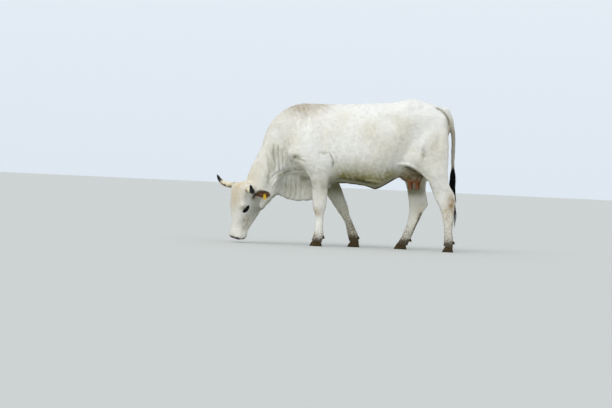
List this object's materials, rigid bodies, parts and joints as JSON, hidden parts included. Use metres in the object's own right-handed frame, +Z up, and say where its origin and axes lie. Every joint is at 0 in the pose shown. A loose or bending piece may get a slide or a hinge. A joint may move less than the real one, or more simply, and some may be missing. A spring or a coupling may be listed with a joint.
{
  "type": "chianina cow",
  "caption": "Life-size still model of a white Chianina cow that grazes with its head lowered and turned.",
  "frame": {"origin": "on the floor, under the centre of the bounding box", "axes": "+Z up, the cow faces -X, its left side towards -Y"},
  "size_m": [2.5701, 0.8843, 1.6154],
  "materials": {
    "coat": "short white coat, grey shading low on the body",
    "ear": "short white hair outside, brown skin and fringe inside",
    "eye": "wet black",
    "horn": "cream with a black tip",
    "hoof": "dull dark horn with mud",
    "udder": "bare orange-brown skin",
    "switch": "black long hair",
    "tag": "yellow, plain"
  },
  "bodies": {
    "root": {"ear_tag": "tag", "head": "coat", "left_ear": "ear", "left_eye": "eye", "left_fore_inner_claw": "hoof", "left_fore_inner_dewclaw": "hoof", "left_fore_leg": "coat", "left_fore_outer_claw": "hoof", "left_fore_outer_dewclaw": "hoof", "left_hind_inner_claw": "hoof", "left_hind_inner_dewclaw": "hoof", "left_hind_leg": "coat", "left_hind_outer_claw": "hoof", "left_hind_outer_dewclaw": "hoof", "left_horn": "horn", "neck": "coat", "right_ear": "ear", "right_eye": "eye", "right_fore_inner_claw": "hoof", "right_fore_inner_dewclaw": "hoof", "right_fore_leg": "coat", "right_fore_outer_claw": "hoof", "right_fore_outer_dewclaw": "hoof", "right_hind_inner_claw": "hoof", "right_hind_inner_dewclaw": "hoof", "right_hind_leg": "coat", "right_hind_outer_claw": "hoof", "right_hind_outer_dewclaw": "hoof", "right_horn": "horn", "tail_lower": "coat", "tail_switch": "switch", "tail_upper": "coat", "torso": "coat", "udder": "udder"}
  },
  "joints": []
}
